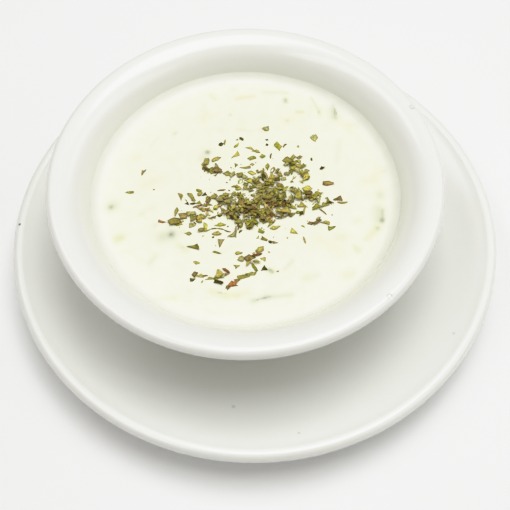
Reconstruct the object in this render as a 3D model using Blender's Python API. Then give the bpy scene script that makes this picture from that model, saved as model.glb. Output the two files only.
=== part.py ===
"""Tzatziki dip in a porcelain bowl with a bell-shaped rim, which stands in its saucer.

Three solids: the saucer, the bowl in the saucer's well, and the dip that fills the bowl.
The origin is under the middle of the saucer, on the surface that it stands on. +Z is up.
Each solid is turned from a profile of points (r, z): distance from the axis, and height.
"""

import math

import bmesh
import bpy
from mathutils import Vector
from mathutils.geometry import interpolate_bezier

MM = 0.001

# Fineness of the turned shapes
SEGMENTS = 60
CURVE_STEPS = 5
LIP_STEPS = 7

# Clearance between two pieces that touch
GAP = 0.3 * MM

# Saucer: a shallow dish with a rolled lip, a well for the bowl and a foot ring
SAUCER_RADIUS = 78 * MM
SAUCER_HEIGHT = 18.4 * MM
SAUCER_LIP_RADIUS = 2.2 * MM
SAUCER_BANK_SLOPE = math.radians(27)
SAUCER_FLOOR = 5.4 * MM
SAUCER_WALL = 3.2 * MM
SAUCER_FOOT_RADIUS = 44 * MM
SAUCER_FOOT_WIDTH = 3.6 * MM
SAUCER_FOOT_HEIGHT = 2.2 * MM
WELL_RADIUS = 31 * MM
WELL_DEPTH = 0.9 * MM
WELL_STEP = 2.5 * MM

# Bowl: a round body whose rim flares out like a bell
BOWL_CENTRE_X = -2.5 * MM
BOWL_RADIUS = 59.2 * MM
BOWL_BASE = SAUCER_FLOOR + GAP
BOWL_TOP = 47.4 * MM
BOWL_LIP_RADIUS = 2.1 * MM
BOWL_FOOT_RADIUS = 26 * MM
BOWL_FOOT_WIDTH = 3 * MM
BOWL_FOOT_HEIGHT = 2.4 * MM
BOWL_NECK_RADIUS = 51.2 * MM
BOWL_NECK_DROP = 12 * MM
BOWL_FLOOR = BOWL_BASE + 5.6 * MM
BOWL_FLOOR_RADIUS = 22 * MM
THROAT_RADIUS = 47.1 * MM
THROAT_SLOPE = math.radians(78)

# Dip: fills the bowl up to its throat, where the rim starts; its edge climbs the wall to there
DIP_LEVEL = 38.5 * MM
DIP_EDGE_WIDTH = 3.1 * MM
DIP_EDGE_RISE = 2.1 * MM

PORCELAIN = (0.86, 0.87, 0.84)
CREAM = (0.91, 0.92, 0.73)


def arc(centre, width, height, start, end, steps):
    """The points of an elliptic arc, from one angle in degrees to the other."""
    angles = [math.radians(start + (end - start) * i / steps) for i in range(steps + 1)]
    return [(centre[0] + width * math.cos(a), centre[1] + height * math.sin(a)) for a in angles]


def curve(start, leave, arrive, end, steps=CURVE_STEPS):
    """The points of a Bezier curve between its two ends, which are left out."""
    corners = [Vector((r, z, 0)) for r, z in (start, leave, arrive, end)]
    return [(p.x, p.y) for p in interpolate_bezier(*corners, steps + 2)[1:-1]]


def shifted(point, out, up):
    """The point that lies so far outward of and above another."""
    return (point[0] + out, point[1] + up)


def foot_ring(radius, width, height, base, bevel=0.5 * MM):
    """A foot ring's profile from its inner side to its outer side, with a flat sole."""
    inner, outer = radius - width / 2, radius + width / 2
    return [
        (inner - height / 3, base + height),
        (inner, base + bevel),
        (inner + bevel, base),
        (outer - bevel, base),
        (outer, base + bevel),
        (outer + height / 3, base + height),
    ]


def saucer_profile():
    """From the middle of the underside out to the lip, and back over the inside to the well."""
    lip_centre = (SAUCER_RADIUS - SAUCER_LIP_RADIUS, SAUCER_HEIGHT - SAUCER_LIP_RADIUS)
    inner_end = 90 + math.degrees(SAUCER_BANK_SLOPE) + 18
    lip = arc(lip_centre, SAUCER_LIP_RADIUS, SAUCER_LIP_RADIUS, -50, inner_end, LIP_STEPS)
    foot = foot_ring(SAUCER_FOOT_RADIUS, SAUCER_FOOT_WIDTH, SAUCER_FOOT_HEIGHT, 0)
    underside = curve(foot[-1], shifted(foot[-1], 12 * MM, 1 * MM), shifted(lip[0], -7 * MM, -5 * MM), lip[0])
    well_edge = (WELL_RADIUS + WELL_STEP, SAUCER_FLOOR + WELL_DEPTH)
    reach = 15 * MM
    fall = reach * math.tan(SAUCER_BANK_SLOPE)
    bank = curve(lip[-1], shifted(lip[-1], -reach, -fall), shifted(well_edge, reach, 0.6 * MM), well_edge)
    well = [well_edge, (WELL_RADIUS, SAUCER_FLOOR), (0, SAUCER_FLOOR)]
    return [(0, SAUCER_FLOOR - SAUCER_WALL), *foot, *underside, *lip, *bank, *well]


def inside_profile(clearance=0.0):
    """The bowl's inside from the throat down to the middle, or what fills it with a clearance."""
    throat = (THROAT_RADIUS - clearance, DIP_LEVEL)
    floor = (BOWL_FLOOR_RADIUS, BOWL_FLOOR + clearance)
    reach = 5 * MM
    fall = reach * math.tan(THROAT_SLOPE)
    side = curve(throat, shifted(throat, -reach, -fall), shifted(floor, 7 * MM, 0), floor)
    return [throat, *side, floor, (0, floor[1])]


def bowl_profile():
    """From the middle of the underside up the outside, over the lip, and down the inside."""
    lip_centre = (BOWL_RADIUS - BOWL_LIP_RADIUS, BOWL_TOP - BOWL_LIP_RADIUS)
    lip = arc(lip_centre, BOWL_LIP_RADIUS, BOWL_LIP_RADIUS, -65, 90, LIP_STEPS)
    foot = foot_ring(BOWL_FOOT_RADIUS, BOWL_FOOT_WIDTH, BOWL_FOOT_HEIGHT, BOWL_BASE)
    neck = (BOWL_NECK_RADIUS, BOWL_TOP - BOWL_NECK_DROP)
    belly = curve(foot[-1], shifted(foot[-1], 6 * MM, 3 * MM), shifted(neck, -5 * MM, -13 * MM), neck)
    flare = curve(neck, shifted(neck, 0.7 * MM, 4.6 * MM), shifted(lip[0], -2.4 * MM, -1.1 * MM), lip[0])
    inside = inside_profile()
    rise = (BOWL_TOP - DIP_LEVEL) / 2
    bell = curve(
        lip[-1],
        shifted(lip[-1], -5.4 * MM, 0),
        shifted(inside[0], rise / math.tan(THROAT_SLOPE), rise),
        inside[0],
        steps=LIP_STEPS,
    )
    return [(0, BOWL_BASE + BOWL_FOOT_HEIGHT), *foot, *belly, neck, *flare, *lip, *bell, *inside]


def dip_profile():
    """From the middle of the dip's level top, up its curved edge to the wall, and down inside the bowl."""
    inside = inside_profile(GAP)
    start = shifted(inside[0], -DIP_EDGE_WIDTH, -DIP_EDGE_RISE)
    third = DIP_EDGE_WIDTH / 3
    edge = curve(start, shifted(start, third, 0), shifted(inside[0], -third, -DIP_EDGE_RISE * 2 / 3), inside[0])
    return [(0, start[1]), start, *edge, *inside]


def turned(name, profile, centre_x, colour, roughness):
    """Turns a profile that starts and ends on the axis into a named, closed and smooth solid."""
    shape = bmesh.new()
    points = [shape.verts.new((r, 0, z)) for r, z in profile]
    edges = [shape.edges.new(pair) for pair in zip(points, points[1:])]
    bmesh.ops.spin(shape, geom=points + edges, axis=(0, 0, 1), angle=math.tau, steps=SEGMENTS, use_merge=True)
    bmesh.ops.remove_doubles(shape, verts=shape.verts, dist=0.001 * MM)
    bmesh.ops.recalc_face_normals(shape, faces=shape.faces)
    mesh = bpy.data.meshes.new(name)
    shape.to_mesh(mesh)
    shape.free()
    mesh.shade_smooth()
    mesh.set_sharp_from_angle(angle=math.radians(35))
    mesh.materials.append(glazed(name, colour, roughness))
    body = bpy.data.objects.new(name, mesh)
    body.location.x = centre_x
    bpy.context.scene.collection.objects.link(body)


def glazed(name, colour, roughness):
    """A Principled material with a clear, shiny coat, as a glaze or a moist surface has."""
    material = bpy.data.materials.new(name)
    material.use_nodes = True
    shader = material.node_tree.nodes["Principled BSDF"]
    shader.inputs["Base Color"].default_value = (*colour, 1)
    shader.inputs["Roughness"].default_value = roughness
    shader.inputs["Metallic"].default_value = 0
    shader.inputs["Coat Weight"].default_value = 0.5
    return material


def main():
    for old in list(bpy.data.objects):
        bpy.data.objects.remove(old)
    turned("saucer", saucer_profile(), 0, PORCELAIN, 0.3)
    turned("bowl", bowl_profile(), BOWL_CENTRE_X, PORCELAIN, 0.3)
    turned("tzatziki", dip_profile(), BOWL_CENTRE_X, CREAM, 0.45)


main()
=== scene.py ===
"""The looks of the tzatziki dip: glazed porcelain, cream with cucumber in it, and dried herbs.

The frame is in metres: +Z up, the saucer's middle at the origin, the front of the dish towards
-Y. Places on the dip are given in mm from the bowl's axis, x to the right and y to the back.
"""

import math

import bmesh
import bpy
import numpy as np
from mathutils import Euler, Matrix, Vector
from mathutils.geometry import interpolate_bezier


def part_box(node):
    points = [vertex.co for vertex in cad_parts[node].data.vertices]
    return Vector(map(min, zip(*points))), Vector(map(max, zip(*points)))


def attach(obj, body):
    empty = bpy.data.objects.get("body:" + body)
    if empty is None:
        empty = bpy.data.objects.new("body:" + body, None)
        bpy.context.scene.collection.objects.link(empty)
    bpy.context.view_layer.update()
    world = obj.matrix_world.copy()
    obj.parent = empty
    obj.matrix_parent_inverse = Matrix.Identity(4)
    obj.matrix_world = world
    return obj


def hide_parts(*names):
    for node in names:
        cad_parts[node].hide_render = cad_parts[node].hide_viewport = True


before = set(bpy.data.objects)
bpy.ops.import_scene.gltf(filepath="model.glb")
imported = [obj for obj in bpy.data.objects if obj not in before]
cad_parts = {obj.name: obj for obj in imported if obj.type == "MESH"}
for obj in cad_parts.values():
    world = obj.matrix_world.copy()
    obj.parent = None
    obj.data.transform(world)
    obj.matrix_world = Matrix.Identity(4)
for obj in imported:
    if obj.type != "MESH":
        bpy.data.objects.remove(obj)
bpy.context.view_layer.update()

MM = 0.001

# Sizes that follow from the frame
SAUCER_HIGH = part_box("saucer")[1]
BOWL_LOW, BOWL_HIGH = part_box("bowl")
DIP_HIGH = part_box("tzatziki")[1]
SAUCER_RADIUS = SAUCER_HIGH.x
SAUCER_HEIGHT = SAUCER_HIGH.z
BOWL_CENTRE = Vector(((BOWL_LOW.x + BOWL_HIGH.x) / 2, 0, 0))
BOWL_RADIUS = (BOWL_HIGH.x - BOWL_LOW.x) / 2
BOWL_BASE = BOWL_LOW.z
BOWL_TOP = BOWL_HIGH.z
DIP_LEVEL = DIP_HIGH.z

# The dishes' own sizes
SAUCER_LIP_RADIUS = 2.2 * MM
SAUCER_BANK_SLOPE = math.radians(27)
SAUCER_FLOOR = 5.4 * MM
SAUCER_WALL = 3.2 * MM
SAUCER_FOOT_RADIUS = 44 * MM
SAUCER_FOOT_WIDTH = 3.6 * MM
SAUCER_FOOT_HEIGHT = 2.2 * MM
WELL_RADIUS = 31 * MM
WELL_DEPTH = 0.9 * MM
WELL_STEP = 2.5 * MM
BOWL_LIP_RADIUS = 2.1 * MM
BOWL_FOOT_RADIUS = 26 * MM
BOWL_FOOT_WIDTH = 3 * MM
BOWL_FOOT_HEIGHT = 2.4 * MM
BOWL_NECK_RADIUS = 51.2 * MM
BOWL_NECK_DROP = 12 * MM
BOWL_FLOOR = BOWL_BASE + 5.6 * MM
BOWL_FLOOR_RADIUS = 22 * MM
THROAT_RADIUS = 47.1 * MM
THROAT_SLOPE = math.radians(78)

# Fineness of the turned shapes
SEGMENTS = 384
CURVE_STEPS = 22
LIP_STEPS = 20
WELL_STEPS = 6
FOOT_STEPS = 4

# The dip, in mm: its edge climbs the wall and reaches into it, and its top is made of so many rings
DIP_RADIUS = THROAT_RADIUS / MM
DIP_EDGE = 3.1
DIP_RISE = 2.1
INTO_WALL = 0.5
TOP_RINGS = 105
EDGE_RINGS = 16

# From this radius on the cream turns to the glaze's colour, by this share at the wall:
# partly thin cream that shows the glaze, partly painted shade from the wall on the cream's edge
THIN_AND_SHADED_FROM = 42.5
GLAZE_AND_SHADE_SHOWING = 0.85

# Relief of the cream: seed, how many waves, the shortest and the longest in mm, height in mm
SWELLS = (3, 16, 14, 34, 0.06)
WRINKLES = (5, 40, 2.2, 5, 0.01)
SHRED_RELIEF = 0.08

# Unevenness of the cream's colour, in the same order, with a share of the colour at the end
MOTTLING = (8, 30, 3, 12, 0.006)

# Shreds that only just show: how many, their lengths and widths in mm, and how strongly they show
FAINT_SHREDS = 70
FAINT_LENGTHS = (0.5, 6)
FAINT_WIDTHS = (0.8, 2)
FAINT_STRENGTHS = (0.05, 0.2)

# How strongly a stain covers the cream in its middle, and its reach as a share of its width
STAIN_COVER = 0.95
STAIN_REACH = 0.6

# The herbs and the shreds lie this far off their listed places, in mm
HERB_SHIFT = (0, 0.95, 0)
SHRED_SHIFT = (0, 1.45, 0)

# Bits of leaf are sheets of points: a middle point and rings round it, at shares of the outline.
# Single bits are drawn out by their growth.
SPOKES = 12
LEAF_RINGS = (0.45, 0.78, 1.0)
LEAF_THICKNESS = 0.08
LONE_GROWTH = 1.2

# A leaf's tone in its middle and on each ring, and how far the tone wanders over it
# The ring tones are painted: light on the middle of a bit, shade towards its edge
RING_LIGHT_AND_SHADE = (1.4, 1.3, 1.06, 0.54)
LEAF_TONE_RANGE = (0.66, 1.34)
LEAF_HUE_RANGE = (0.96, 1.04)
LEAF_MOTTLE = (0.58, 1.42)

# Random bits: lengths in mm, and widths as a share of the length
HEAP_LENGTHS = (0.8, 2.9)
HEAP_WIDTHS = (0.32, 0.78)
CRUMBS = 100
CRUMB_LENGTHS = (0.35, 0.8)
CRUMB_WIDTHS = (0.5, 0.9)

# How bits lie: up to how many degrees they lean, how deep in mm they sink, and their curl
HEAP_LIE = (42, 0.1, 1.7)
TOP_LIE = (26, 0.05, 1.4)
LONE_LIE = (14, -0.03, 1.0)
CRUMB_LIE = (20, 0, 1.0)

# The pile under the bits: square cells round the bowl's axis, in mm. A bit comes down as long as
# this share of its points stays above the pile, and raises a cell by no more than its loft.
PILE_CELL = 0.5
PILE_HALF = 50
BEARING_SHARE = 0.97
BIT_LOFT = 0.35

# Strands are stalks and skins. A form is a height and a lift, both as shares of the width.
STRAND_STEPS = 8
STRAND_SIDES = 10
STALK_FORM = (1, 0.1)
SKIN_FORM = (0.5, -0.2)

# Seeds of what is random
FAINT_SEED = 21
LEAF_SEED = 12
SKIN_SEED = 4
STALK_SEED = 6

# Lights on the ceiling: name, place x, y and size x, y in metres, radiance. The fill is the world.
SOFTBOXES = (
    ("key_softbox", 0.144, 0.087, 0.524, 0.626, 6.35),
    ("left_panel", -0.5, -0.059, 0.318, 1.264, 3.08),
    ("right_panel", 1.15, 0, 0.8, 2, 1.6),
)
LIGHT_LEVEL = 0.94
CEILING = 0.94
FILL_COLOUR = (1, 0.87, 0.67)
FILL_LEVEL = 0.125

# Film: from the knee on, tones roll off towards white, up to the brightest tone of the curve
FILM_KNEE = 0.76
FILM_WHITE = 0.96
SCENE_WHITE = 2.5
FILM_STEPS = 16

# Floor and camera, in metres and degrees
FLOOR_HALF = 4
FLOOR_COLOUR = (0.93, 0.937, 0.948)
LENS = 63.53
CAMERA_PLACE = (0, -0.15599, 0.26488)
CAMERA_AIM_Y = -0.02317
CAMERA_ROLL = -1.15


def linear(red, green, blue):
    """A colour given as it looks, from 0 to 255, in linear values."""
    return tuple(((c / 255 + 0.055) / 1.055) ** 2.4 for c in (red, green, blue))


PORCELAIN = (0.863, 0.876, 0.843)
PORCELAIN_SHADE = (0.853, 0.866, 0.828)
CREAM = (0.912, 0.927, 0.72)

# Marks in the saucer's glaze: place x, y in mm in the frame, radius in mm, colour
SPECK = (0.1, 0.1, 0.09)
FAINT_SPECK = (0.69, 0.7, 0.64)
SAUCER_SPECKS = (
    ((-76.3, 2), 0.4, SPECK),
    ((-7.3, -59.3), 0.6, FAINT_SPECK),
    ((11.6, -69.4), 0.4, FAINT_SPECK),
    ((59.9, -39.2), 0.4, FAINT_SPECK),
)

# Pinholes in the glaze of the bowl's rim: places x, y in mm in the frame
PINHOLES = ((36.5, -42.3), (49.5, 23.6))
PINHOLE_RADIUS = 0.65
PINHOLE_DEPTH = 0.45 * MM
GLAZE_RELIEF = 0.07 * MM

# The bare clay of a foot ring's sole
CLAY = (0.72, 0.69, 0.61)
CLAY_SHADE = (0.62, 0.58, 0.5)
SOLE_DEPTH = 0.3 * MM

# Tones of cucumber under the cream, of cucumber at its surface, and of the herbs
STAINS = {
    "skin": linear(101, 117, 72),
    "flesh": linear(208, 214, 168),
    "pale": linear(227, 226, 186),
    "grey": linear(186, 191, 170),
    "rosy": linear(226, 212, 180),
}

SKIN_TONES = {
    "deep": linear(160, 167, 124),
    "skin": linear(203, 207, 178),
    "grey": linear(218, 221, 204),
    "flesh": linear(226, 229, 200),
    "pale": linear(234, 235, 208),
}

LEAF_TONES = {
    "olive": linear(169, 158, 77),
    "green": linear(149, 146, 51),
    "sage": linear(177, 170, 105),
    "tan": linear(188, 169, 103),
    "brown": linear(140, 119, 67),
    "rust": linear(150, 104, 58),
    "lime": linear(184, 177, 80),
    "dark": linear(86, 78, 20),
    "copper": linear(182, 124, 66),
}

# Cucumber under the surface: from x, y to x, y, width, tone, and how strongly it shows
SHREDS = (
    (-22.3, -15.9, -22.3, -15.9, 1.7, "skin", 0.7), (-22.3, -15.9, -24.8, -16.5, 3.8, "grey", 0.55),
    (-41, -5.5, -41, -5.5, 1.3, "skin", 0.7), (-41, -5.5, -40.4, -5, 3.6, "grey", 0.5),
    (-11.8, 14.5, -11.8, 14.5, 1.3, "skin", 0.8), (-22.5, 22, -22.2, 22.4, 1.4, "skin", 0.25),
    (-12.2, 14, -12.6, 13.2, 3.4, "grey", 0.3), (28.9, 32.5, 29.3, 27, 1.1, "skin", 0.3),
    (29, 31, 29, 28, 3.2, "grey", 0.45), (41.3, -8.6, 41.1, -11.8, 0.9, "skin", 0.35),
    (40.9, -12.2, 40.9, -12.4, 1.2, "skin", 0.85), (40.3, -8.5, 40.1, -11.5, 3.6, "grey", 0.5),
    (39.3, -15, 39.3, -15, 1.2, "skin", 0.5), (39.3, -15, 36, -18.5, 2, "flesh", 0.45),
    (7.4, -29.1, 6.6, -28.5, 1.1, "skin", 0.7), (7, -28.8, 7, -28.8, 2.6, "flesh", 0.3),
    (1.5, -38.6, 5.5, -37.5, 1.8, "grey", 0.42), (5.5, -37.5, 12.5, -37, 1.6, "grey", 0.45),
    (2, -38.5, 2.4, -38.4, 1.2, "skin", 0.2), (4, -37.8, 7, -37.3, 1.1, "skin", 0.12),
    (-38.3, -16.8, -37.3, -16.4, 2.6, "flesh", 0.75), (-20, -19.6, -18, -21.4, 1.8, "flesh", 0.45),
    (-19.2, -15, -18.8, -14.8, 1.5, "flesh", 0.35), (-26, -37.4, -20.5, -37.2, 2, "pale", 0.5),
    (-10, -35.5, -6, -37, 2.2, "flesh", 0.45), (-6, -37, 0, -36, 2, "pale", 0.55),
    (-3.2, -37, -2.6, -37, 1.4, "rosy", 0.6), (17, -31.5, 18, -31.3, 2.4, "flesh", 0.4),
    (29, -30.8, 30.2, -30.6, 2.8, "flesh", 0.4), (33, -12.2, 33.8, -12, 2, "flesh", 0.35),
    (27.6, -18, 28.6, -17.8, 2.8, "flesh", 0.4), (22, -18, 27, -23, 4, "pale", 0.3),
    (32, -21, 33, -23, 1.4, "flesh", 0.55), (43.3, 6, 43.8, 6.3, 1.6, "flesh", 0.4),
    (37, 2, 39.5, 2.4, 3.2, "pale", 0.35), (33.5, 24.5, 35.8, 24.3, 3.4, "pale", 0.35),
    (13.8, 26.5, 13.8, 26.5, 1, "skin", 0.35), (13, 26.5, 15, 26.8, 4, "pale", 0.3),
    (13.5, 34.6, 13.5, 35.4, 1.4, "skin", 0.5), (6, 38.6, 14, 38.3, 1.4, "grey", 0.3),
    (17.3, 30, 18.8, 30, 1.3, "flesh", 0.7), (24.5, 31, 24.5, 28, 1.3, "flesh", 0.35),
    (22, 36, 24.3, 29.5, 0.9, "grey", 0.4), (-2.5, 36, 3, 37, 1.6, "rosy", 0.55),
    (-11, 38, -9.5, 36, 1.4, "flesh", 0.4), (-4.5, 29.5, -4.5, 29.5, 1, "skin", 0.25),
    (-13.5, 27.5, -12.5, 29.5, 3, "pale", 0.3), (-34.5, 13, -33.5, 13.2, 2.6, "pale", 0.3),
    (-31, 2.4, -27, 4.4, 3.6, "rosy", 0.3), (-8, 23.5, -7.5, 23.5, 2, "grey", 0.2),
    (13.5, -25.5, 11, -28.5, 1.3, "grey", 0.35), (-27, -23.5, -28.5, -25.5, 1.6, "grey", 0.35),
    (-27.5, -12.5, -27, -12.2, 1.5, "grey", 0.3), (-32, -8.5, -31.4, -8.2, 1.5, "grey", 0.3),
    (28.5, 10, 30, 18, 1.6, "grey", 0.18), (19.8, -31, 20.6, -30.6, 1.4, "grey", 0.3),
    (41, -3.5, 41, -2.9, 2.6, "grey", 0.4), (5, 23, 5.6, 23.4, 2, "rosy", 0.3),
)

# Bits of cucumber skin at the surface: from x, y to x, y, width, tone
SKINS = (
    (-22.9, -16.2, -21.8, -15.6, 1.2, "deep"), (-41.3, -5.8, -40.7, -5.2, 1, "skin"),
    (28.9, 32.3, 29.3, 27.3, 1.6, "skin"), (7.5, -29.2, 6.5, -28.4, 1.1, "skin"),
    (2, -38.5, 7.5, -37.3, 1.4, "grey"), (24.5, 31, 24.4, 28.3, 1.2, "flesh"),
    (32, -21, 33, -23, 1.4, "flesh"), (-9.5, -35.6, -5, -37, 1.4, "pale"),
    (-20, -19.6, -18.2, -21.2, 1.4, "flesh"),
)

# Single bits of leaf: x, y, length, width, heading in degrees, tone
LONE_BITS = (
    # behind
    (7, 24, 2, 1.8, 40, "sage"), (22, 19.5, 2.2, 2, 0, "sage"), (7, 19.5, 0.9, 0.6, 0, "dark"),
    (7, 17.5, 0.8, 0.7, 0, "dark"), (-1, 20, 1.5, 0.8, -30, "dark"),
    (-2.5, 19.8, 0.8, 0.6, 0, "olive"), (-7.5, 18, 1.5, 1, 20, "dark"),
    (-2.5, 17.5, 2.2, 0.7, 50, "green"), (1.5, 16.2, 2.4, 1.2, -5, "olive"),
    (3.5, 15, 2.5, 0.9, -15, "olive"), (10.5, 16.7, 2.8, 1.5, -50, "green"),
    (16.8, 16.6, 0.8, 0.7, 0, "olive"), (-3, 13.5, 3, 1.5, 45, "olive"),
    (2, 12.3, 2.5, 1.4, 10, "green"), (5.5, 12.9, 1.6, 1.4, 0, "green"),
    (-9, 12.3, 2.8, 1.2, 20, "olive"),
    # behind, left
    (-12.3, 11, 2.8, 2, 50, "olive"), (-12, 8.2, 2, 1, -40, "dark"), (-10.5, 7, 2, 1, -20, "olive"),
    (-8.5, 7.6, 2.8, 1.8, -20, "brown"), (-5.3, 6.4, 3, 1.6, -10, "olive"),
    (-4, 5.9, 2, 1.4, 30, "sage"), (-2.7, 9.7, 1.5, 1, 90, "green"), (0, 8.7, 3, 0.8, 0, "olive"),
    (2.2, 9.8, 1.3, 0.9, 20, "sage"), (2, 6.5, 2.5, 1.2, -10, "lime"),
    # behind, right
    (13.5, 11, 3, 2, -30, "olive"), (15.5, 10, 2, 1.5, 20, "green"), (15, 12, 2, 1.2, 60, "olive"),
    (16.5, 9, 2.3, 1.3, -20, "olive"), (17.9, 8.8, 2, 1.2, 30, "green"),
    (13, 9.6, 1.8, 1, 60, "sage"), (16.8, 10.8, 1.8, 1, -40, "olive"),
    (17, 12.2, 1.8, 1.2, 0, "brown"), (14.5, 9, 2, 1.4, 0, "dark"), (15, 8.2, 2, 1.5, 40, "olive"),
    (16, 7, 2, 1.4, -30, "sage"), (17.5, 6.5, 1.8, 1.5, 10, "green"),
    (19, 6.8, 1.5, 1.2, 60, "olive"), (18, 5, 1.8, 1.3, -40, "brown"),
    (20.8, 11.5, 1, 0.5, 90, "dark"), (24, 8, 1.6, 1, 30, "dark"), (25.3, 2, 3.2, 1.4, 5, "brown"),
    (28.3, -3.4, 2.7, 1.8, -10, "brown"), (18.8, 4.2, 2.5, 1.5, 60, "lime"),
    (17.3, 2.7, 1.2, 1, 0, "olive"), (19, 0.2, 2.5, 2, 20, "lime"),
    (14.5, 3.2, 0.8, 0.7, 0, "dark"),
    # right
    (16, -2, 4, 2, 90, "olive"), (19.3, -1.5, 2, 1.4, 0, "brown"),
    (19.8, -3.2, 2.5, 1, -10, "brown"), (22.3, -1.8, 2.5, 1.3, 10, "lime"),
    (21.5, -3, 2.5, 1.4, 30, "olive"), (21.5, -6.5, 2.8, 1.7, 20, "green"),
    (23.8, -5.8, 2.2, 1.2, 20, "olive"), (25.5, -5, 2.5, 0.6, -35, "dark"),
    (17.5, -6, 3, 1.8, -20, "olive"), (16.8, -8.8, 2, 1.1, 70, "dark"), (13, -5, 2, 1, 0, "brown"),
    (19.5, -12.3, 2, 1.2, 0, "brown"), (21.2, -12, 2.6, 1, 28, "brown"),
    (23.8, -12.1, 2.4, 1, -15, "olive"), (25.7, -14.2, 2, 1.5, 0, "green"),
    (14.3, -14.8, 2, 2, 0, "lime"), (8.7, -13.5, 3, 1.3, 25, "olive"),
    (4.5, -14.8, 1.8, 1.6, 0, "green"), (3.5, -17, 0.8, 0.7, 0, "lime"),
    (5.5, -17.5, 2, 1, -20, "green"), (7.2, -18.7, 1.2, 1, 0, "dark"),
    (8.7, -18.8, 1.5, 0.8, 0, "brown"),
    # left
    (-8, -3.2, 2, 1.8, 0, "sage"), (-9.5, -2, 2, 1.3, 30, "olive"), (-6, -2.8, 2, 1.1, 20, "brown"),
    (-6, -1.5, 1.8, 1, 0, "olive"), (-9, -6, 2, 1.2, 50, "olive"),
    (-9.5, -9.5, 1.8, 0.9, 30, "brown"), (-8, -9, 1.4, 0.9, 0, "dark"),
    (-7.5, -8.3, 1.6, 0.8, 40, "olive"), (-7.3, 0.4, 2.4, 0.6, 5, "brown"),
    (-11.3, -3.5, 1.8, 1.2, 30, "brown"), (-11.8, -6.5, 1.5, 1, 60, "rust"),
    (-12.5, -5, 1.5, 1, 0, "brown"), (-14.3, 0.5, 1.5, 1.2, 0, "green"),
    (-14, -0.8, 1.5, 1, 40, "olive"), (-12.6, -0.8, 1.5, 1.2, 0, "dark"),
    (-16.5, -1.8, 3.2, 1, -55, "olive"), (-20, -1.8, 2.4, 1.3, 90, "olive"),
    (-18, -4.2, 1.3, 1, 0, "dark"), (-16, -4.3, 1.8, 0.6, 10, "dark"),
    (-14.2, -4, 1.6, 1.2, 0, "green"), (-21, -7.2, 3.3, 1, 80, "olive"),
    (-18.7, -8.7, 2.5, 2.2, 20, "tan"), (-16.5, -8, 2.5, 1.5, 30, "sage"),
    (-16, -10, 2.5, 2, -20, "olive"), (-16, -12.3, 2, 1.4, 0, "sage"),
    (-14, -10, 2.5, 1.8, 80, "olive"), (-21.5, -11, 3.3, 2, 20, "olive"),
    (-25.2, -10.7, 2.2, 0.9, -15, "rust"), (-31.8, 7.6, 2.2, 1.1, 75, "brown"),
    (-35.7, 0.2, 2.4, 0.7, 0, "green"), (-12.2, -12.8, 2.5, 1, 90, "lime"),
    (-13.5, -14, 2, 1.5, 40, "olive"), (-7.8, -12.1, 3, 1.2, 10, "green"),
    (-8.8, -15.2, 2.7, 1.2, -5, "olive"), (-9.9, -16.4, 0.7, 0.5, 0, "dark"),
    (-4, -16, 3.1, 2.1, 30, "sage"), (-1.8, -14.8, 1.3, 0.6, 50, "dark"),
    (-7.6, -18.2, 2.6, 2, 40, "tan"), (-17.4, -15, 2, 1, -10, "olive"),
    (-15.5, -19.5, 3.5, 1.4, -18, "green"), (-8.8, -21.8, 2.6, 0.6, -20, "green"),
    (-14.7, -25.2, 1.8, 1, -20, "olive"),
    # in front
    (-2.2, -22.2, 2, 1.2, -10, "lime"), (-1.7, -24.2, 1.8, 1.6, 0, "sage"),
    (1, -23.8, 3, 2, 10, "brown"), (4, -21.2, 2.4, 1.5, 20, "olive"),
    (4.8, -24.5, 1.4, 1.2, 0, "lime"), (0.3, -25.8, 2, 1.2, 50, "olive"),
    (2.2, -27, 2.7, 0.8, -60, "green"), (5.3, -27.5, 2, 1.5, 70, "dark"),
    (-2.8, -26.5, 1.5, 1.3, 30, "lime"), (-15.2, -29.2, 1.8, 1.1, 60, "brown"),
    (-15.7, -30.7, 1.6, 1, 20, "dark"), (-13.5, -29.6, 2, 1.2, 0, "olive"),
    (-10.7, -30.7, 2.5, 1, 20, "lime"), (-8.1, -29.4, 2.9, 2.3, 30, "olive"),
    (-5.8, -29.5, 1.5, 1, 0, "brown"), (-8.2, -32, 2.4, 0.9, -22, "dark"),
    (-4.8, -33, 3.4, 2, 28, "copper"), (-2.8, -31.3, 1.5, 0.8, 20, "brown"),
    (-5.6, -33.6, 1.6, 1.1, 60, "brown"), (-3.6, -32.4, 2, 1, 40, "copper"),
    (-1, -30.1, 3, 1.1, 15, "lime"), (1.2, -29.4, 3, 1, 12, "lime"),
)

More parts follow.
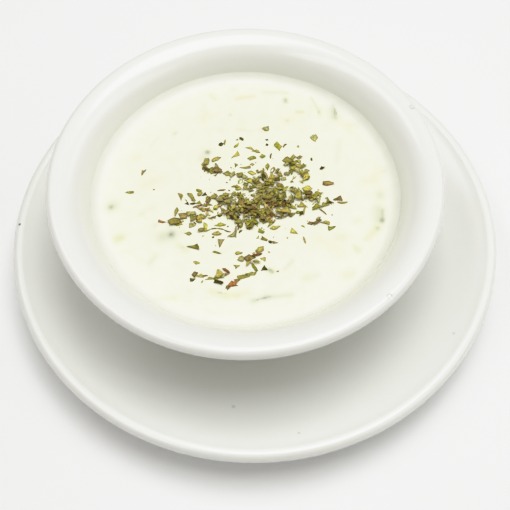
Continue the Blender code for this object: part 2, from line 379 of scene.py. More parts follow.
# Larger bits that lie on top of the heap in the middle
TOP_BITS = (
    (7, 9, 3, 1.6, 80, "olive"), (8, 5, 3, 1.8, 100, "olive"), (1, 3.5, 3, 2, 0, "lime"),
    (3.5, 3.5, 2.5, 1.8, 30, "olive"), (9.7, 3.2, 2, 1.6, 0, "dark"),
    (11.8, 4.3, 2, 1.5, 20, "sage"), (10.5, 1.5, 2.2, 1.6, 0, "brown"),
    (-2, 5.5, 2.4, 1.7, 0, "olive"), (-1.5, 3.5, 2.2, 1.8, 60, "sage"), (-2, 1, 2.5, 2, 0, "lime"),
    (-1.5, -2.5, 2.5, 2, 80, "green"), (4, 1, 3, 2.2, 20, "sage"), (3, -3, 3, 2, 20, "sage"),
    (0.5, -3.7, 2.2, 1.7, 30, "tan"), (6.5, -3, 3.6, 2.2, 10, "olive"),
    (11, -3, 3, 2.4, -20, "olive"), (-5.5, -4.5, 3, 2.8, 0, "sage"),
    (-4, -6.5, 3.5, 2.4, 30, "olive"), (-6, -8, 2.4, 1.4, 40, "tan"),
    (12, -8.2, 3.6, 2, -20, "olive"), (2, -11.5, 4, 2.4, 0, "green"), (5, -11, 2, 1.5, 0, "brown"),
    (-2.5, -11.5, 2.5, 1.5, -20, "olive"), (0, 0.5, 2.4, 1.6, 50, "olive"),
    (6.5, -8.5, 2.6, 1.7, -30, "olive"), (5, -0.5, 3, 1.8, 20, "olive"),
    (7.5, -0.8, 2.6, 1.8, 0, "sage"), (8.5, 7.5, 2.6, 1.3, 60, "olive"),
    (7, 8.8, 2.4, 1.2, 80, "green"), (-1.8, 6, 2.2, 1.6, 0, "olive"),
    (-0.5, 5, 2.2, 1.4, -30, "sage"), (14, -9, 2.4, 1.4, 20, "olive"),
    (16, -8.3, 2, 1.2, 0, "green"), (13, 6, 2.2, 1.6, 0, "sage"),
    (15.5, -0.8, 2.6, 1.8, 90, "olive"), (6, 0.5, 2.2, 1.5, -20, "tan"),
)

# The heap: x, y, radius along and across, heading in degrees, how many bits
HEAPS = (
    (3.5, -6.3, 9.7, 5.4, 4, 150), (5, 4.2, 6.5, 3.2, 20, 50), (11.5, -3, 5.5, 4.8, 0, 58),
    (-4, -5, 6, 4.5, 20, 50), (2, -11, 7, 2.6, 0, 44), (-14.5, -6, 5.5, 5.5, 0, 20),
    (17, 7, 3.5, 5, 0, 7), (-9, 8, 4.5, 1.6, -30, 6), (21, -3.5, 5, 2.6, -15, 19),
    (-18, -11.5, 4, 2, 0, 5), (1.5, -24, 4, 3, 0, 3), (-9, -30.5, 6, 1.5, 0, 3),
    (21, -12, 4.5, 1.4, 10, 2),
)
HEAP_TONES = {
    "olive": 0.36, "sage": 0.18, "green": 0.18, "tan": 0.11,
    "brown": 0.06, "dark": 0.04, "lime": 0.06, "rust": 0.01,
}

# Thin stalks: from x, y to x, y, width, how high they arch, tone
STALKS = (
    (-6.5, 17.7, -6.2, 20, 0.5, 0.2, "olive"), (12.1, 16.3, 13.3, 17.7, 0.5, 0.2, "brown"),
    (8, 11.9, 8.4, 14.1, 0.5, 0.2, "brown"), (27.8, -4.9, 31.1, -4.9, 0.7, 0.2, "tan"),
    (22.2, -7.2, 24.4, -9.4, 0.4, 0.3, "brown"), (17.4, -9.4, 18.3, -5.6, 0.5, 0.4, "lime"),
    (16.4, -13, 17.6, -13.7, 0.4, 0.1, "lime"), (17, -16.9, 17.6, -19.4, 0.55, 0.2, "tan"),
    (-16, -5.8, -13, -4.8, 0.45, 0.3, "rust"), (-15.2, -5.3, -13.7, -6.8, 0.45, 0.4, "tan"),
    (-12.6, -14.6, -10.5, -13.6, 0.35, 0.2, "olive"),
    (-10.7, -13.6, -8.6, -13.4, 0.35, 0.2, "brown"), (-8.8, -13.4, -6.4, -14, 0.35, 0.2, "olive"),
    (-6.7, -13.9, -4.4, -14.8, 0.35, 0.2, "brown"), (-3.1, -12.6, -2.9, -15, 0.4, 0.2, "tan"),
    (1.3, -23.2, 4.7, -22.4, 0.7, 0.5, "rust"), (-7.1, -27.3, -4.9, -28.9, 0.8, 0.3, "rust"),
    (-12.8, -29.9, -11.2, -29.6, 0.4, 0.2, "rust"), (-13.3, -32, -12.7, -31, 0.4, 0.1, "sage"),
    (5.5, 8.5, 5.2, 5.5, 0.5, 0.8, "green"), (6, -6, 8.5, -9, 0.5, 0.9, "tan"),
    (8.5, -6.2, 7, -9.2, 0.45, 0.9, "tan"), (-4.5, 1.5, -2, 1, 0.5, 0.4, "lime"),
    (3, -1, 7.5, 1.2, 0.5, 0.9, "lime"), (9, -10.5, 13, -9.2, 0.45, 0.7, "brown"),
    (-1, -8.6, 3.6, -7.6, 0.5, 1, "brown"),
)


# ---------------------------------------------------------------- turned dishes

def arc(centre, width, height, start, end, steps=LIP_STEPS):
    """The points of an elliptic arc, from one angle in degrees to the other."""
    angles = [math.radians(start + (end - start) * i / steps) for i in range(steps + 1)]
    return [(centre[0] + width * math.cos(a), centre[1] + height * math.sin(a)) for a in angles]


def curve(start, leave, arrive, end, steps=CURVE_STEPS):
    """The points of a Bezier curve between its two ends, which are left out."""
    corners = [Vector((r, z, 0)) for r, z in (start, leave, arrive, end)]
    return [(p.x, p.y) for p in interpolate_bezier(*corners, steps + 2)[1:-1]]


def shifted(point, out, up):
    """The point that lies so far outward of and above another."""
    return (point[0] + out, point[1] + up)


def foot_ring(radius, width, height, base):
    """A foot ring's profile from its inner side to its outer side, with rounded edges."""
    inner, outer = radius - width / 2, radius + width / 2
    bevel = 0.5 * MM
    fillet = height / 3
    start = (inner - 2.5 * fillet, base + height)
    end = (outer + fillet, base + height)
    inside = curve(
        start,
        (inner - fillet, base + height),
        (inner - 0.2 * fillet, base + height / 2),
        (inner, base + bevel),
        FOOT_STEPS + 1,
    )
    outside = curve(
        (outer, base + bevel),
        (outer + 0.2 * fillet, base + height / 2),
        (outer + fillet / 2, base + 0.9 * height),
        end,
        FOOT_STEPS,
    )
    sole = [
        *arc((inner + bevel, base + bevel), bevel, bevel, 180, 270, FOOT_STEPS),
        *arc((outer - bevel, base + bevel), bevel, bevel, 270, 360, FOOT_STEPS),
    ]
    return [start, *inside, *sole, *outside, end]


def saucer_profile():
    """From the middle of the underside out to the lip, and back over the inside to the well."""
    lip_centre = (SAUCER_RADIUS - SAUCER_LIP_RADIUS, SAUCER_HEIGHT - SAUCER_LIP_RADIUS)
    inner_end = 90 + math.degrees(SAUCER_BANK_SLOPE) + 18
    lip = arc(lip_centre, SAUCER_LIP_RADIUS, SAUCER_LIP_RADIUS, -50, inner_end)
    foot = foot_ring(SAUCER_FOOT_RADIUS, SAUCER_FOOT_WIDTH, SAUCER_FOOT_HEIGHT, 0)
    underside = curve(
        foot[-1],
        shifted(foot[-1], 12 * MM, 1 * MM),
        shifted(lip[0], -7 * MM, -5 * MM),
        lip[0],
    )
    well_edge = (WELL_RADIUS + WELL_STEP, SAUCER_FLOOR + WELL_DEPTH)
    well_floor = (WELL_RADIUS, SAUCER_FLOOR)
    reach = 15 * MM
    fall = reach * math.tan(SAUCER_BANK_SLOPE)
    bank = curve(
        lip[-1],
        shifted(lip[-1], -reach, -fall),
        shifted(well_edge, reach, 0.6 * MM),
        well_edge,
    )
    half_step = WELL_STEP / 2
    step = curve(
        well_edge,
        shifted(well_edge, -half_step, 0),
        shifted(well_floor, half_step, 0),
        well_floor,
        WELL_STEPS,
    )
    inside = [well_edge, *step, well_floor, (0, SAUCER_FLOOR)]
    return [(0, SAUCER_FLOOR - SAUCER_WALL), *foot, *underside, *lip, *bank, *inside]


def inside_profile():
    """The bowl's inside from the throat down to the middle."""
    throat = (THROAT_RADIUS, DIP_LEVEL)
    floor = (BOWL_FLOOR_RADIUS, BOWL_FLOOR)
    reach = 5 * MM
    fall = reach * math.tan(THROAT_SLOPE)
    side = curve(throat, shifted(throat, -reach, -fall), shifted(floor, 7 * MM, 0), floor)
    return [throat, *side, floor, (0, floor[1])]


def bowl_profile():
    """From the middle of the underside up the outside, over the lip, and down the inside."""
    lip_centre = (BOWL_RADIUS - BOWL_LIP_RADIUS, BOWL_TOP - BOWL_LIP_RADIUS)
    lip = arc(lip_centre, BOWL_LIP_RADIUS, BOWL_LIP_RADIUS, -65, 90)
    foot = foot_ring(BOWL_FOOT_RADIUS, BOWL_FOOT_WIDTH, BOWL_FOOT_HEIGHT, BOWL_BASE)
    neck = (BOWL_NECK_RADIUS, BOWL_TOP - BOWL_NECK_DROP)
    belly = curve(
        foot[-1],
        shifted(foot[-1], 6 * MM, 3 * MM),
        shifted(neck, -5 * MM, -13 * MM),
        neck,
    )
    flare = curve(
        neck,
        shifted(neck, 0.7 * MM, 4.6 * MM),
        shifted(lip[0], -2.4 * MM, -1.1 * MM),
        lip[0],
    )
    inside = inside_profile()
    rise = (BOWL_TOP - DIP_LEVEL) / 2
    bell = curve(
        lip[-1],
        shifted(lip[-1], -5.4 * MM, 0),
        shifted(inside[0], rise / math.tan(THROAT_SLOPE), rise),
        inside[0],
    )
    return [(0, BOWL_BASE + BOWL_FOOT_HEIGHT), *foot, *belly, neck, *flare, *lip, *bell, *inside]


# ---------------------------------------------------------------- meshes

def new_piece(name, points, faces, colours=None):
    """A smooth mesh whose faces look outward, with a colour at each point."""
    shape = bmesh.new()
    for point in points:
        shape.verts.new(point)
    shape.verts.ensure_lookup_table()
    for face in faces:
        shape.faces.new([shape.verts[i] for i in face])
    bmesh.ops.recalc_face_normals(shape, faces=shape.faces)
    mesh = bpy.data.meshes.new(name)
    shape.to_mesh(mesh)
    shape.free()
    mesh.shade_smooth()
    if colours is not None:
        layer = mesh.color_attributes.new("tint", "FLOAT_COLOR", "POINT")
        opaque = np.column_stack([colours, np.ones(len(colours))])
        layer.data.foreach_set("color", opaque.ravel())
    piece = bpy.data.objects.new(name, mesh)
    bpy.context.scene.collection.objects.link(piece)
    return piece


def dress(piece, material, slot, *nodes):
    """Gives a piece its material, and lets it stand for the CAD nodes named. The slot is not used.
    """
    piece.data.materials.append(material)
    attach(piece, "root")
    if nodes:
        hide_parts(*nodes)


def ring_faces(rings, segments):
    """The faces of a closed skin: a first middle point, rings of points and a last middle point."""
    last = 1 + rings * segments
    faces = []
    for i in range(segments):
        j = (i + 1) % segments
        faces.append((0, 1 + i, 1 + j))
        faces.append((last - segments + i, last, last - segments + j))
        for low in range(1, last - segments, segments):
            high = low + segments
            faces.append((low + i, high + i, high + j, low + j))
    return faces


def round_axis(radii):
    """The x and the y of a middle point, of rings of points round it, and of a last middle point."""
    turns = np.arange(SEGMENTS) * math.tau / SEGMENTS
    x = np.concatenate([[0], *(r * np.cos(turns) for r in radii), [0]])
    y = np.concatenate([[0], *(r * np.sin(turns) for r in radii), [0]])
    return x, y


def turned(name, profile, centre):
    """A closed piece turned from a profile that starts and ends on the axis."""
    x, y = round_axis([r for r, z in profile[1:-1]])
    heights = [z for r, z in profile[1:-1]]
    z = np.concatenate([profile[0][1:], np.repeat(heights, SEGMENTS), profile[-1][1:]])
    points = np.column_stack([x, y, z]) + np.array(centre)
    return new_piece(name, points, ring_faces(len(heights), SEGMENTS))


# ---------------------------------------------------------------- cream

def ripple(x, y, seed, waves, shortest, longest, height):
    """A smooth relief: a sum of waves whose directions, lengths and phases come from the seed."""
    rng = np.random.default_rng(seed)
    total = np.zeros_like(x)
    for _ in range(waves):
        turn, phase = rng.uniform(0, math.tau, 2)
        count = math.tau / rng.uniform(shortest, longest)
        total += np.sin(count * (x * math.cos(turn) + y * math.sin(turn)) + phase)
    return total * height * math.sqrt(2 / waves)


def close_to(x, y, shred, reach):
    """How close each place is to the line along a shred: 1 on it, and falling off over a reach."""
    x0, y0, x1, y1 = shred[:4]
    dx, dy = x1 - x0, y1 - y0
    x, y = x - SHRED_SHIFT[0], y - SHRED_SHIFT[1]
    share = ((x - x0) * dx + (y - y0) * dy) / max(dx * dx + dy * dy, 1e-6)
    share = np.clip(share, 0, 1)
    distance = np.hypot(x - x0 - share * dx, y - y0 - share * dy)
    return np.exp(-((distance / reach) ** 2))


def faint_shreds():
    """Shreds that only just show through the cream, spread over the whole of it."""
    rng = np.random.default_rng(FAINT_SEED)
    shreds = []
    for _ in range(FAINT_SHREDS):
        reach = DIP_RADIUS * math.sqrt(rng.uniform(0, 0.9))
        place, heading = rng.uniform(0, math.tau, 2)
        x, y = reach * math.cos(place), reach * math.sin(place)
        run = rng.uniform(*FAINT_LENGTHS)
        tone = rng.choice(["flesh", "pale", "grey", "rosy"])
        end = (x + run * math.cos(heading), y + run * math.sin(heading))
        width, strength = rng.uniform(*FAINT_WIDTHS), rng.uniform(*FAINT_STRENGTHS)
        shreds.append((x, y, *end, width, tone, strength))
    return shreds


ALL_SHREDS = (*SHREDS, *faint_shreds())


def relief(x, y):
    """How far in mm the cream stands above its level at each place."""
    height = ripple(x, y, *SWELLS) + ripple(x, y, *WRINKLES)
    for shred in ALL_SHREDS:
        width, _, strength = shred[4:]
        height += SHRED_RELIEF * strength * close_to(x, y, shred, width)
    return height


def cream_top(x, y):
    """The height of the cream's top in mm, from the level of the dip's edge."""
    return relief(x, y) - DIP_RISE


def stained_and_edge_shaded(x, y):
    """The cream's colour, with shreds that show through it, and glaze and painted shade by the wall.
    """
    colours = np.tile(CREAM, (len(x), 1))
    colours *= 1 + ripple(x, y, *MOTTLING)[:, None]
    for shred in ALL_SHREDS:
        width, tone, strength = shred[4:]
        cover = STAIN_COVER * strength * close_to(x, y, shred, STAIN_REACH * width)
        colours += cover[:, None] * (np.array(STAINS[tone]) - colours)
    # Towards the wall the colour turns to the glaze's: thin cream, and painted shade from the wall
    thinned_and_shaded = np.clip((np.hypot(x, y) - THIN_AND_SHADED_FROM) / (DIP_RADIUS - THIN_AND_SHADED_FROM), 0, 1)
    return colours + GLAZE_AND_SHADE_SHOWING * thinned_and_shaded[:, None] * (np.array(PORCELAIN) - colours)


def dip_rings():
    """The dip's rings (r, z) in mm: its top, its edge that climbs the wall, and its body."""
    start = DIP_RADIUS - DIP_EDGE
    top = [(r, -DIP_RISE) for r in np.linspace(0, start, TOP_RINGS + 1)[1:]]
    run = np.linspace(0, 1 + INTO_WALL / DIP_EDGE, EDGE_RINGS + 1)[1:]
    edge = [(start + DIP_EDGE * share, DIP_RISE * (share**2 - 1)) for share in run]
    body = [(r / MM + INTO_WALL, (z - DIP_LEVEL) / MM) for r, z in inside_profile()[4:-1:2]]
    return top + edge + body


def dip_surface():
    """The dip as one closed piece, whose relief fades out on the body inside the bowl."""
    rings = dip_rings()
    x, y = round_axis([r for r, z in rings])
    heights = [z for r, z in rings]
    level = np.concatenate([[-DIP_RISE], np.repeat(heights, SEGMENTS), heights[-1:]])
    showing = np.clip((level + DIP_RISE + 2) / 1.5, 0, 1)
    points = on_dip(x, y, level + showing * relief(x, y))
    faces = ring_faces(len(rings), SEGMENTS)
    return new_piece("tzatziki_cream", points, faces, stained_and_edge_shaded(x, y))


def on_dip(x, y, height):
    """Points in the frame's metres, from mm from the bowl's axis and above the dip's level."""
    return np.column_stack([x, y, height]) * MM + (BOWL_CENTRE.x, 0, DIP_LEVEL)


# ---------------------------------------------------------------- herbs and cucumber

def bare_pile():
    """The height of the dip's top in square cells, which the bits are laid on one by one."""
    side = np.arange(-PILE_HALF, PILE_HALF, PILE_CELL) + PILE_CELL / 2
    x, y = np.meshgrid(side, side, indexing="ij")
    return cream_top(x.ravel(), y.ravel()).reshape(x.shape)


def cells(points):
    """The pile's cells that hold the points."""
    last = int(2 * PILE_HALF / PILE_CELL) - 1
    index = np.clip(((points[:, :2] + PILE_HALF) / PILE_CELL).astype(int), 0, last)
    return index[:, 0], index[:, 1]


def settle(points, pile, give):
    """Lets a bit down on what lies under it, presses it in by a little, and adds it to the pile."""
    place = cells(points)
    points[:, 2] += np.quantile(pile[place] - points[:, 2], BEARING_SHARE) - give
    pile[place] = np.maximum(pile[place], np.minimum(points[:, 2], pile[place] + BIT_LOFT))


def leaf_outline(rng, length, width):
    """A torn outline with three, four or six corners."""
    corners = rng.choice((3, 4, 4, 6))
    steps = SPOKES // corners
    turns = (np.arange(corners) + rng.uniform(-0.3, 0.3, corners)) * math.tau / corners
    turns += rng.uniform(0, math.tau)
    tips = np.column_stack([np.cos(turns), np.sin(turns)]) * rng.uniform(0.6, 1, (corners, 1))
    share = np.tile(np.arange(steps) / steps, corners)[:, None]
    start = np.repeat(tips, steps, axis=0)
    end = np.repeat(np.roll(tips, -1, axis=0), steps, axis=0)
    outline = (start + (end - start) * share) * rng.uniform(0.82, 1.1, (SPOKES, 1))
    outline -= (outline.max(axis=0) + outline.min(axis=0)) / 2
    return outline / np.ptp(outline, axis=0) * (length, width)


def bent(across, height, angle, width):
    """Rolls a strip of the given width by an angle, upwards if it is positive."""
    radius = width / angle
    turn = across / radius
    return (radius - height) * np.sin(turn), radius - (radius - height) * np.cos(turn)


def leaf_bit(rng, length, width, curl):
    """A crumpled bit of leaf that lies along X: its points, ring by ring from the middle."""
    outline = leaf_outline(rng, length, width)
    along, across = np.vstack([[0, 0], *(outline * ring for ring in LEAF_RINGS)]).T
    height = np.zeros_like(along)
    size = (length + width) / 2
    for _ in range(3):
        turn, phase = rng.uniform(0, math.tau, 2)
        count = math.tau / (size * rng.uniform(0.5, 1.3))
        wave = count * (along * math.cos(turn) + across * math.sin(turn)) + phase
        height += rng.uniform(0.01, 0.045) * size * np.sin(wave)
    crease = rng.uniform(-0.2, 0.2) * width
    fold = math.radians(rng.uniform(-5, 28 * curl))
    side = np.hypot(across - crease, 0.05 * width)
    height += side * math.tan(fold)
    across = crease + (across - crease) * math.cos(fold)
    across, height = bent(across, height, rng.choice((-1, 1)) * rng.uniform(0.1, curl), width)
    along, height = bent(along, height, rng.choice((-1, 1)) * rng.uniform(0.05, 0.6 * curl), length)
    points = np.column_stack([along, across, height])
    return points * (length / np.ptp(along), width / np.ptp(across), 1)


def leaf_colours(rng, tone):
    """A leaf's own tone, mottled, with painted light in its middle and painted shade to its edge."""
    own = np.array(LEAF_TONES[tone]) * rng.uniform(*LEAF_TONE_RANGE)
    own = own * rng.uniform(*LEAF_HUE_RANGE, 3)
    # Painted light and shade: the middle of the bit brighter, its edge darker
    rings = np.repeat(RING_LIGHT_AND_SHADE, (1, SPOKES, SPOKES, SPOKES))
    mottle = rng.uniform(*LEAF_MOTTLE, len(rings))
    return own * (rings * mottle)[:, None]


def turned_over(points, rng, lean, heading):
    """Leans a bit at random, up to an angle in degrees, and turns it to its heading."""
    tilt = Euler((0, math.radians(rng.uniform(0, lean)), 0)).to_matrix()
    way = Euler((0, 0, rng.uniform(0, math.tau))).to_matrix()
    facing = Euler((0, 0, math.radians(heading))).to_matrix()
    return points @ np.array(facing @ way @ tilt @ way.transposed()).T


def lay_leaf(rng, pile, bit, lean, give, curl):
    """A bit of leaf laid on the pile: its points and their colours."""
    x, y, length, width, heading, tone = bit
    flake = leaf_bit(rng, length, width, curl)
    points = turned_over(flake, rng, lean, heading) + (x, y, 0) + HERB_SHIFT
    settle(points, pile, give)
    return points, leaf_colours(rng, tone)


def grown(bit):
    """A bit with its length and width drawn out, since leaning hides a part of them."""
    x, y, length, width, heading, tone = bit
    return x, y, length * LONE_GROWTH, width * LONE_GROWTH, heading, tone


def heap_bits(rng):
    """The bits of the heaps, from the outside of each heap to its middle."""
    bits = []
    tones, shares = zip(*HEAP_TONES.items())
    for x, y, along, across, heading, count in HEAPS:
        reach = np.sort(np.sqrt(rng.uniform(0, 1, count)))[::-1]
        for r in reach:
            turn, way = rng.uniform(0, math.tau), math.radians(heading)
            u, v = along * r * math.cos(turn), across * r * math.sin(turn)
            out = x + u * math.cos(way) - v * math.sin(way)
            back = y + u * math.sin(way) + v * math.cos(way)
            length = rng.uniform(*HEAP_LENGTHS)
            width = length * rng.uniform(*HEAP_WIDTHS)
            facing = rng.uniform(0, 360)
            bits.append((out, back, length, width, facing, rng.choice(tones, p=shares)))
    return bits


def crumbs(rng):
    """The dust that falls with the leaves."""
    bits = []
    for _ in range(CRUMBS):
        x, y = rng.normal(2, 9), rng.normal(-3, 8.5)
        length = rng.uniform(*CRUMB_LENGTHS)
        width = length * rng.uniform(*CRUMB_WIDTHS)
        facing = rng.uniform(0, 360)
        bits.append((x, y, length, width, facing, rng.choice(list(LEAF_TONES))))
    return bits


def leaf_faces(start):
    """A leaf's faces: a fan in the middle, and rings of squares."""
    faces = []
    for i in range(SPOKES):
        j = (i + 1) % SPOKES
        faces.append((start, start + 1 + i, start + 1 + j))
        for ring in range(len(LEAF_RINGS) - 1):
            low = start + 1 + ring * SPOKES
            high = low + SPOKES
            faces.append((low + i, high + i, high + j, low + j))
    return faces


def leaves(pile):
    """All bits of leaf as one piece, in the order in which they are laid."""
    rng = np.random.default_rng(LEAF_SEED)
    laid = [lay_leaf(rng, pile, bit, *HEAP_LIE) for bit in heap_bits(rng)]
    laid += [lay_leaf(rng, pile, bit, *TOP_LIE) for bit in TOP_BITS]
    laid += [lay_leaf(rng, pile, grown(bit), *LONE_LIE) for bit in LONE_BITS]
    laid += [lay_leaf(rng, pile, bit, *CRUMB_LIE) for bit in crumbs(rng)]
    points = np.vstack([points for points, colours in laid])
    colours = np.vstack([colours for points, colours in laid])
    size = 1 + SPOKES * len(LEAF_RINGS)
    faces = [face for start in range(0, len(points), size) for face in leaf_faces(start)]
    return thickened("herb_leaves", on_dip(*points.T), faces, colours, LEAF_THICKNESS * MM)


def thickened(name, points, faces, colours, thickness):
    """A piece made from thin sheets, which are given a thickness and so closed."""
    piece = new_piece(name, points, faces, colours)
    solid = piece.modifiers.new("thickness", "SOLIDIFY")
    solid.thickness = thickness
    solid.offset = -1
    depsgraph = bpy.context.evaluated_depsgraph_get()
    mesh = bpy.data.meshes.new_from_object(piece.evaluated_get(depsgraph))
    mesh.name = name
    piece.modifiers.clear()
    piece.data = mesh
    return piece


def strand(rng, start, end, width, arch, flatness, lift, ground):
    """A strand that lies on or in the ground between two places: its rings of points.

    Its height is its width times its flatness, and its middle is lifted by a share of its width.
    """
    share = np.linspace(0, 1, STRAND_STEPS)
    x, y = (start[i] + (end[i] - start[i]) * share for i in (0, 1))
    run = math.hypot(end[0] - start[0], end[1] - start[1])
    across = np.array([start[1] - end[1], end[0] - start[0]]) / run
    bow = rng.uniform(-0.12, 0.12) * run * np.sin(share * math.pi)
    x, y = x + bow * across[0], y + bow * across[1]
    low = ground(x, y)
    height = low + arch * np.sin(share * math.pi) + lift * width
    thick = width / 2 * (1 - 0.75 * np.abs(2 * share - 1) ** 4)
    thick *= rng.uniform(0.85, 1.15, STRAND_STEPS)
    turns = np.arange(STRAND_SIDES) * math.tau / STRAND_SIDES
    rings = []
    for i in range(STRAND_STEPS):
        out, up = thick[i] * np.cos(turns), thick[i] * flatness * np.sin(turns)
        ring = [x[i] + out * across[0], y[i] + out * across[1], height[i] + up]
        rings.append(np.column_stack(ring))
    middle = [(x[i], y[i], height[i]) for i in (0, -1)]
    return np.vstack([middle[0], *rings, middle[1]])


def strands(name, seed, rows, shift, tones, form, ground):
    """Strands between places as one piece."""
    rng = np.random.default_rng(seed)
    points, faces, colours = [], [], []
    shape = ring_faces(STRAND_STEPS, STRAND_SIDES)
    for x0, y0, x1, y1, width, arch, tone in rows:
        start, end = np.add([(x0, y0), (x1, y1)], shift[:2])
        one = strand(rng, start, end, width, arch, *form, ground)
        first = sum(len(part) for part in points)
        faces += [tuple(first + i for i in face) for face in shape]
        points.append(one)
        own = np.array(tones[tone]) * rng.uniform(0.85, 1.15)
        colours.append(own * rng.uniform(0.8, 1.15, (len(one), 1)))
    return new_piece(name, on_dip(*np.vstack(points).T), faces, np.vstack(colours))


# ---------------------------------------------------------------- materials

# Sockets of a Mix node for colours
MIX_SHARE, MIX_FIRST, MIX_SECOND, MIX_RESULT = 0, 6, 7, 2


def principled(name, colour, **settings):
    """A new material with its shader's own sockets set, and its shader."""
    material = bpy.data.materials.new(name)
    material.use_nodes = True
    shader = material.node_tree.nodes["Principled BSDF"]
    shader.inputs["Base Color"].default_value = (*colour, 1)
    for socket, value in settings.items():
        shader.inputs[socket.replace("_", " ")].default_value = value
    return material, shader


def noise(tree, scale, detail=2.0):
    """Noise in the object's own space, with so many waves to a metre."""
    place = tree.nodes.new("ShaderNodeTexCoord")
    texture = tree.nodes.new("ShaderNodeTexNoise")
    texture.inputs["Scale"].default_value = scale
    texture.inputs["Detail"].default_value = detail
    tree.links.new(place.outputs["Object"], texture.inputs["Vector"])
    return texture.outputs["Fac"]


def spread(tree, value, low, high, start=0.3, end=0.7):
    """Maps a value between start and end to a range."""
    mapped = tree.nodes.new("ShaderNodeMapRange")
    mapped.inputs["From Min"].default_value = start
    mapped.inputs["From Max"].default_value = end
    mapped.inputs["To Min"].default_value = low
    mapped.inputs["To Max"].default_value = high
    tree.links.new(value, mapped.inputs["Value"])
    return mapped.outputs["Result"]


def mixed(tree, share, first, second, blend="MIX"):
    """A colour between two colours, each of which is a socket or a plain colour."""
    mix = tree.nodes.new("ShaderNodeMix")
    mix.data_type = "RGBA"
    mix.blend_type = blend
    for socket, colour in ((MIX_FIRST, first), (MIX_SECOND, second)):
        if isinstance(colour, tuple):
            mix.inputs[socket].default_value = (*colour, 1)
        else:
            tree.links.new(colour, mix.inputs[socket])
    if isinstance(share, float):
        mix.inputs[MIX_SHARE].default_value = share
    else:
        tree.links.new(share, mix.inputs[MIX_SHARE])
    return mix.outputs[MIX_RESULT]


def bump(tree, shader, height, distance):
    """A fine relief of the surface, so many metres high."""
    bumps = tree.nodes.new("ShaderNodeBump")
    bumps.inputs["Strength"].default_value = 1
    bumps.inputs["Distance"].default_value = distance
    tree.links.new(height, bumps.inputs["Height"])
    tree.links.new(bumps.outputs["Normal"], shader.inputs["Normal"])


def near(tree, place, radius, softness, inside=1.0):
    """A value inside a small upright column at a place in mm, and zero outside it.

    The object's own space is the frame's, since no piece is moved.
    """
    where = tree.nodes.new("ShaderNodeTexCoord")
    level = tree.nodes.new("ShaderNodeVectorMath")
    level.operation = "MULTIPLY"
    level.inputs[1].default_value = (1, 1, 0)
    apart = tree.nodes.new("ShaderNodeVectorMath")
    apart.operation = "DISTANCE"
    apart.inputs[1].default_value = (place[0] * MM, place[1] * MM, 0)
    tree.links.new(where.outputs["Object"], level.inputs[0])
    tree.links.new(level.outputs["Vector"], apart.inputs[0])
    start, end = (radius - softness) * MM, (radius + softness) * MM
    return spread(tree, apart.outputs["Value"], inside, 0, start, end)


def porcelain(name, specks=(), pinholes=()):
    """White glazed porcelain, a little uneven, with specks and pinholes in the glaze."""
    material, shader = principled(name, PORCELAIN, Coat_Weight=1.0, Coat_Roughness=0.17)
    tree = material.node_tree
    clouds = spread(tree, noise(tree, 25), 0, 1)
    colour = mixed(tree, clouds, PORCELAIN, PORCELAIN_SHADE)
    for place, radius, tint in specks:
        colour = mixed(tree, near(tree, place, radius, 0.15), colour, tint)
    tree.links.new(colour, shader.inputs["Base Color"])
    gloss = spread(tree, noise(tree, 90), 0.47, 0.53)
    tree.links.new(gloss, shader.inputs["Roughness"])
    height = noise(tree, 130)
    for place in pinholes:
        hole = near(tree, place, PINHOLE_RADIUS, 0.3, PINHOLE_DEPTH / GLAZE_RELIEF)
        height = less(tree, height, hole)
    bump(tree, shader, height, GLAZE_RELIEF)
    return material


def less(tree, first, second):
    """The difference of two values."""
    taken = tree.nodes.new("ShaderNodeMath")
    taken.operation = "SUBTRACT"
    tree.links.new(first, taken.inputs[0])
    tree.links.new(second, taken.inputs[1])
    return taken.outputs["Value"]


def clay():
    """Fired clay without glaze: matt, warm and grainy."""
    material, shader = principled("bare_clay", CLAY, Roughness=0.85)
    tree = material.node_tree
    grain = spread(tree, noise(tree, 900), 0, 1)
    tree.links.new(mixed(tree, grain, CLAY, CLAY_SHADE), shader.inputs["Base Color"])
    bump(tree, shader, noise(tree, 1500), 0.05 * MM)
    return material


def bare_sole(piece, base, material):
    """Leaves the glaze off the sole of a foot ring."""
    piece.data.materials.append(material)
    for face in piece.data.polygons:
        if face.center.z < base + SOLE_DEPTH:
            face.material_index = 1


def tinted(name, roughness, uneven, grain, relief_height, **settings):
    """A material whose colour comes from its points, with a fine grain."""
    material, shader = principled(name, CREAM, Roughness=roughness, **settings)
    tree = material.node_tree
    own = tree.nodes.new("ShaderNodeAttribute")
    own.attribute_name = "tint"
    shade = mixed(tree, spread(tree, noise(tree, grain), 0, 1), (1, 1, 1), (1 - uneven,) * 3)
    colour = mixed(tree, 1.0, own.outputs["Color"], shade, "MULTIPLY")
    tree.links.new(colour, shader.inputs["Base Color"])
    bump(tree, shader, noise(tree, grain, 3.0), relief_height * MM)
    return material


# ---------------------------------------------------------------- stage, light and camera

def floor():
    """A plain pale floor."""
    mesh = bpy.data.meshes.new("floor")
    corners = [(x * FLOOR_HALF, y * FLOOR_HALF, 0) for x, y in ((-1, -1), (1, -1), (1, 1), (-1, 1))]
    mesh.from_pydata(corners, [], [(0, 1, 2, 3)])
    stage = bpy.data.objects.new("floor", mesh)
    material, _ = principled("pale_floor", FLOOR_COLOUR, Roughness=1.0, Specular_IOR_Level=0)
    mesh.materials.append(material)
    bpy.context.scene.collection.objects.link(stage)


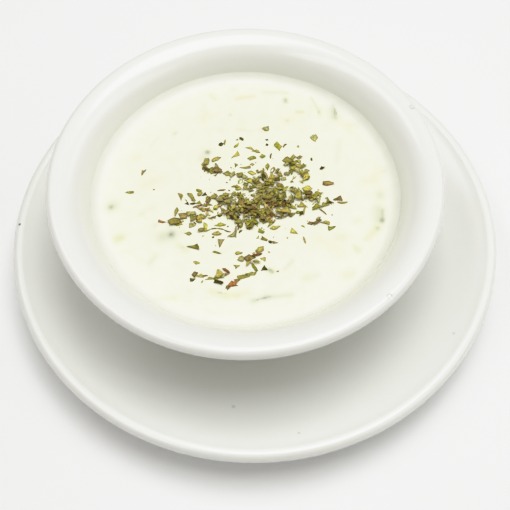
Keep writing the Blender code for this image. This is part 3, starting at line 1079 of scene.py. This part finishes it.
def softbox(name, x, y, width, depth, radiance):
    """A level soft light that shines straight down from the studio's ceiling."""
    lamp = bpy.data.lights.new(name, "AREA")
    lamp.shape = "RECTANGLE"
    lamp.size = width
    lamp.size_y = depth
    lamp.energy = math.pi * width * depth * radiance
    thing = bpy.data.objects.new(name, lamp)
    thing.location = (x, y, CEILING)
    bpy.context.scene.collection.objects.link(thing)


def surroundings():
    """A faint, warm fill from all round."""
    world = bpy.data.worlds.new("studio")
    world.use_nodes = True
    background = world.node_tree.nodes["Background"]
    background.inputs["Color"].default_value = (*FILL_COLOUR, 1)
    background.inputs["Strength"].default_value = FILL_LEVEL
    bpy.context.scene.world = world


def rolled_off(tone):
    """A tone as it shows: the same up to the knee, and from there ever less bright than it is."""
    room = FILM_WHITE - FILM_KNEE
    if tone < FILM_KNEE:
        return tone
    return FILM_KNEE + room * (1 - math.exp((FILM_KNEE - tone) / room))


def film():
    """Rolls bright tones off towards white, so that the pale dish keeps its shape."""
    settings = bpy.context.scene.view_settings
    settings.view_transform = "Standard"
    settings.use_curve_mapping = True
    mapping = settings.curve_mapping
    mapping.white_level = (SCENE_WHITE, SCENE_WHITE, SCENE_WHITE)
    whole_curve = mapping.curves[3].points
    whole_curve[0].location = (0, 0)
    whole_curve[1].location = (1, rolled_off(SCENE_WHITE))
    for i in range(FILM_STEPS):
        tone = FILM_KNEE + (SCENE_WHITE - FILM_KNEE) * (i / FILM_STEPS) ** 1.6
        whole_curve.new(tone / SCENE_WHITE, rolled_off(tone))
    for point in whole_curve:
        point.handle_type = "VECTOR"
    mapping.update()


def studio():
    """The lights, the fill and the film."""
    for *form, radiance in SOFTBOXES:
        softbox(*form, radiance * LIGHT_LEVEL)
    surroundings()
    film()


def camera():
    """The view down on the dish from the front."""
    lens = bpy.data.cameras.new("camera")
    lens.sensor_width = 36
    lens.lens = LENS
    view = bpy.data.objects.new("camera", lens)
    view.location = CAMERA_PLACE
    aim = Vector((0, CAMERA_AIM_Y, DIP_LEVEL))
    turn = (aim - view.location).to_track_quat("-Z", "Y").to_euler()
    turn.rotate_axis("Z", math.radians(CAMERA_ROLL))
    view.rotation_euler = turn
    bpy.context.scene.collection.objects.link(view)
    bpy.context.scene.camera = view


def dishes():
    """The saucer and the bowl, glazed but for their soles."""
    saucer = turned("saucer_glazed", saucer_profile(), (0, 0, 0))
    dress(saucer, porcelain("saucer_glaze", SAUCER_SPECKS), "saucer_porcelain", "saucer")
    bowl = turned("bowl_glazed", bowl_profile(), BOWL_CENTRE)
    dress(bowl, porcelain("bowl_glaze", pinholes=PINHOLES), "bowl_porcelain", "bowl")
    bare = clay()
    bare_sole(saucer, 0, bare)
    bare_sole(bowl, BOWL_BASE, bare)


def cream():
    """The dip, and the bits of cucumber skin at its surface."""
    smooth = tinted("cream", 0.45, 0.03, 250, 0.1)
    dress(dip_surface(), smooth, "tzatziki", "tzatziki")
    moist = tinted("cucumber", 0.35, 0.15, 900, 0.05)
    rows = [(*row[:5], 0, row[5]) for row in SKINS]
    skins = strands(
        "cucumber_skins", SKIN_SEED, rows, SHRED_SHIFT, SKIN_TONES, SKIN_FORM, cream_top
    )
    dress(skins, moist, "cucumber")


def herbs():
    """The dried leaves on the dip, and the stalks that lie on them."""
    pile = bare_pile()
    dried = tinted("dried_leaf", 0.8, 0.45, 2000, 0.05, Specular_IOR_Level=0.15)
    dress(leaves(pile), dried, "dried_herbs")

    def pile_top(x, y):
        """The height of the dip with its leaves, in mm."""
        return pile[cells(np.column_stack([x, y]))]

    stalks = strands(
        "herb_stalks", STALK_SEED, STALKS, HERB_SHIFT, LEAF_TONES, STALK_FORM, pile_top
    )
    dress(stalks, dried, "dried_herbs")


dishes()
cream()
herbs()
floor()
studio()
camera()
